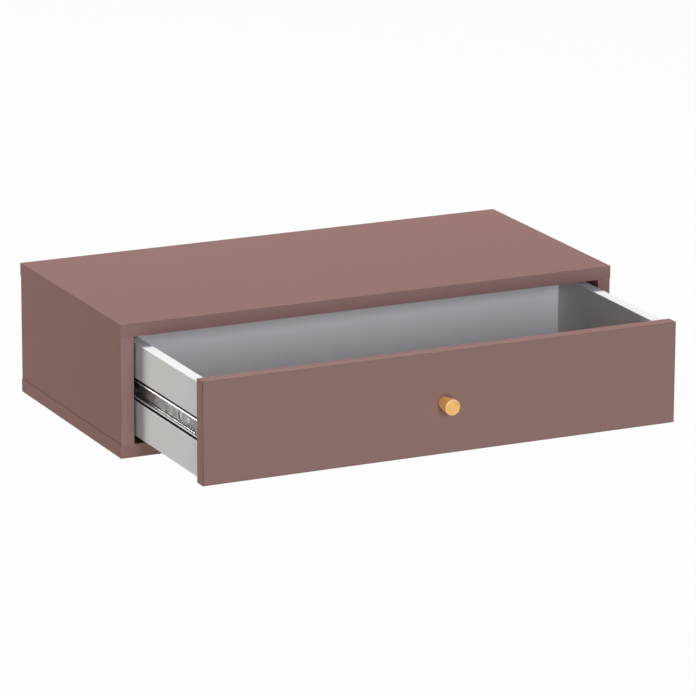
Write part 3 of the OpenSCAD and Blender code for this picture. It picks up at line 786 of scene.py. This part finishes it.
def groove_painted_light(tree, places, depth, skin):
    """Painted shade on the groove's lower wall, away from its edge, and a painted highlight on the cut
    edge below.
    """
    edge_highlight = in_range(tree, places[2], sill_z - edge_highlight_w - sill_t, sill_z + sill_t)
    on_sill = in_range(tree, places[2], sill_z - sill_t, sill_z + sill_t)
    shaded_wall = maths(tree, "MULTIPLY", on_sill, maths(tree, "GREATER_THAN", depth, unshaded_w))
    skin = two_colours(tree, edge_highlight, skin, edge_highlight_white)
    return two_colours(tree, shaded_wall, skin, groove_shade_dark)


groove = (2, runner_low.z - groove_reach, runner_high.z + groove_reach)
for name in ("drawer_left_side", "drawer_right_side"):
    dress(name, foil_board(name + "_foil", name, 0, warm_white, groove, groove_painted_light))
dress("drawer_back", foil_board("drawer_back_foil", "drawer_back", 1, warm_white))

band_white = edge_plastic("white_band", rim_white)
low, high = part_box("drawer_box_edge_bands")
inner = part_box("drawer_left_side")[1].x
back_low, back_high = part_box("drawer_back")
strips = [
    rounded_strip(low, (inner, high.y, high.z), 2, 1, rim_round),
    rounded_strip((-inner, low.y, low.z), high, 2, 1, rim_round),
    rounded_strip(
        (inner + band_gap, back_low.y, low.z), (-inner - band_gap, back_high.y, high.z), 2, 1, rim_round
    ),
]
one_piece("drawer_rim_bands", strips, band_white, "drawer", ["drawer_box_edge_bands"], True)


# Drawer bottom: hardboard, lacquered light grey on the inside and bare brown underneath. It
# slides into grooves in the front and the sides and is screwed up into the back.
grey_lacquer = (0.54, 0.56, 0.58, 1)
grey_lacquer_deep = (0.51, 0.53, 0.55, 1)
low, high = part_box("drawer_bottom")
dress("drawer_bottom", hardboard("bottom_hardboard", 2, high.z, 1, grey_lacquer, grey_lacquer_deep))


# Drawer screws: countersunk, with cross recesses. Four go through the sides into the back,
# four up through the bottom, and two through each runner into the drawer's side.
screw_root_share = 0.68
screw_edge = 0.0002
screw_neck_l = 0.0004
screw_tip_l = 0.0022
screw_pitch = 0.0013
recess_width_share = 0.4
recess_reach_share = 1.3
recess_depth = 0.0011


def countersunk(start, along, axis, head_r, shank_r, length):
    """A countersunk chipboard screw with its flush head at the start."""
    root = shank_r * screw_root_share
    profile = [(0, head_r), (screw_edge, head_r - screw_edge), (head_r - root, root)]
    thread_start = head_r - root + screw_neck_l
    profile += rings(thread_start, length - screw_tip_l, root, shank_r, screw_pitch)
    screw = turned(start, along, profile + [(length, screw_edge)])
    cross_recess(
        screw, start, axis, recess_width_share * head_r, recess_reach_share * head_r, recess_depth
    )
    return screw


for node, name, axis, along, shank_r in (
    ("drawer_back_screws", "back_fixing_screws", 0, (1, 0, 0), 0.002),
    ("drawer_bottom_screws", "bottom_fixing_screws", 2, (0, 0, 1), 0.0015),
    ("drawer_runner_screws", "channel_screws", 0, (1, 0, 0), 0.00175),
):
    places = solids_of(node)
    low, high = places[0]
    start = (low + high) / 2
    start[axis] = low[axis]
    head_r = (high.y - low.y) / 2
    screw = countersunk(start, along, axis, head_r, shank_r, high[axis] - low[axis])
    one_piece(
        name, copies(screw, places[0], places, axis == 0), bright_zinc, "drawer",
        [node],
    )


# Knob: a turned brass cone, widest at its outer end, with a bevel round a slightly dished face.
# A painted highlight lightens the bevel's rim, and the cone's side is painted lighter than the face
# as painted light. A machine screw through the drawer front holds it.
knob_low, knob_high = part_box("knob")
centre = (knob_low + knob_high) / 2
axis_point = (centre.x, knob_high.y, centre.z)
knob_sides = 96
foot_r = 0.008
outer_r = (knob_high.x - knob_low.x) / 2
bevel_w = 0.0009
flare_l = knob_high.y - knob_low.y - bevel_w
flare_share = 0.82
bore_r = 0.00205
bore_l = 0.014
rim_w = 0.0004
dish_depth = 0.00025
dish_share = 0.97
dish_flat_share = 0.5
rim_highlight_l = 0.00085
rim_highlight_w = 0.001
side_start = 0.0003
faced_brass = (0.80, 0.46, 0.16, 1)
faced_brass_deep = (0.62, 0.31, 0.085, 1)
# Painted light: the side's colours are lighter than the face's, as if the side were lit more.
lit_side_brass = (1.0, 0.70, 0.26, 1)
lit_side_brass_deep = (1.0, 0.52, 0.15, 1)
# Painted highlight on the bevel's outer rim.
rim_highlight_brass = (0.96, 0.68, 0.38, 1)
face_rough = 0.34
side_rough = 0.75
turning_rough = 0.14
turning_relief = 0.00002

brass, tree, shader, where = new_material("satin_brass")
about_axis = put(
    tree, "Mapping", inputs={"Vector": where, "Location": (-centre.x, 0, -centre.z)}
).outputs[0]
places = put(tree, "SeparateXYZ", inputs={0: about_axis}).outputs
x_squared = maths(tree, "MULTIPLY", places[0], places[0])
z_squared = maths(tree, "MULTIPLY", places[2], places[2])
radius = maths(tree, "SQRT", maths(tree, "ADD", x_squared, z_squared))
ringed = put(tree, "CombineXYZ", inputs={0: radius, 1: places[1]}).outputs[0]
turning = noise(tree, ringed, scale=4000.0)
tarnish = noise(tree, where, scale=140.0, detail=3.0)
at_bevel = maths(tree, "LESS_THAN", places[1], knob_low.y + rim_highlight_l)
rim_highlight = maths(tree, "MULTIPLY", at_bevel, maths(tree, "GREATER_THAN", radius, outer_r - rim_highlight_w))
on_side = maths(tree, "GREATER_THAN", places[1], knob_low.y + bevel_w + side_start)
faced = two_colours(tree, tarnish, faced_brass, faced_brass_deep)
lit_side = two_colours(tree, tarnish, lit_side_brass, lit_side_brass_deep)
face_and_lit_side = two_colours(tree, on_side, faced, lit_side)
satin_rough = between(tree, on_side, face_rough, side_rough)
set_inputs(
    tree,
    shader,
    {
        "Base Color": two_colours(tree, rim_highlight, face_and_lit_side, rim_highlight_brass),
        "Metallic": 0.7,
        "Roughness": maths(tree, "MULTIPLY_ADD", turning, turning_rough, satin_rough),
        "Normal": bump(tree, turning, turning_relief),
    },
)


def grow(distance, share):
    """Extrudes the selected faces outwards, along -Y, and scales them about the knob's axis."""
    bpy.ops.mesh.extrude_region_move(TRANSFORM_OT_translate={"value": (0, -distance, 0)})
    bpy.ops.transform.resize(value=(share, 1, share), center_override=axis_point)


bpy.ops.object.select_all(action="DESELECT")
bpy.ops.mesh.primitive_circle_add(
    vertices=knob_sides,
    radius=foot_r,
    fill_type="NGON",
    location=axis_point,
    rotation=(math.pi / 2, 0, 0),
)
bpy.ops.object.transform_apply(location=True, rotation=True, scale=True)
knob = bpy.context.object
bpy.ops.object.mode_set(mode="EDIT")
bpy.ops.mesh.select_all(action="SELECT")
grow(flare_l * flare_share, outer_r / foot_r)
grow(flare_l * (1 - flare_share), 1.0)
grow(bevel_w, (outer_r - bevel_w) / outer_r)
grow(0.0, (outer_r - bevel_w - rim_w) / (outer_r - bevel_w))
grow(-dish_depth, dish_share)
grow(0.0, dish_flat_share)
bpy.ops.mesh.select_all(action="DESELECT")
shape = bmesh.from_edit_mesh(knob.data)
for face in shape.faces:
    at_foot = abs(face.calc_center_median().y - knob_high.y) < same_place
    face.select = at_foot and len(face.verts) == knob_sides
bmesh.update_edit_mesh(knob.data)
bpy.ops.mesh.inset(thickness=foot_r - bore_r)
grow(bore_l, 1.0)
bpy.ops.mesh.select_all(action="SELECT")
bpy.ops.mesh.normals_make_consistent(inside=False)
bpy.ops.object.mode_set(mode="OBJECT")
one_piece("brass_knob", [knob], brass, "drawer", ["knob"])

knob_screw_head_r = 0.00425
knob_screw_head_t = 0.0028
knob_screw_core_r = 0.00172
knob_screw_thread_r = 0.002
knob_screw_pitch = 0.0007
knob_screw_neck_l = 0.0003
knob_screw_end_l = 0.0006
knob_screw_end_r = 0.0014
knob_screw_dome = [(0, 0.0026), (0.0003, 0.0034), (0.0010, 0.0041), (0.0018, knob_screw_head_r)]
low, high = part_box("knob_screw")
head = (centre.x, high.y, centre.z)
length = high.y - low.y
profile = list(knob_screw_dome)
profile += [(knob_screw_head_t, knob_screw_head_r), (knob_screw_head_t, knob_screw_core_r)]
profile += rings(
    knob_screw_head_t + knob_screw_neck_l, length - knob_screw_end_l,
    knob_screw_core_r, knob_screw_thread_r, knob_screw_pitch,
)
machine_screw = turned(head, (0, -1, 0), profile + [(length, knob_screw_end_r)])
cross_recess(machine_screw, head, 1, width=0.0013, reach=0.0048, depth=0.0016)
one_piece("knob_fixing_screw", [machine_screw], bright_zinc, "drawer", ["knob_screw"])
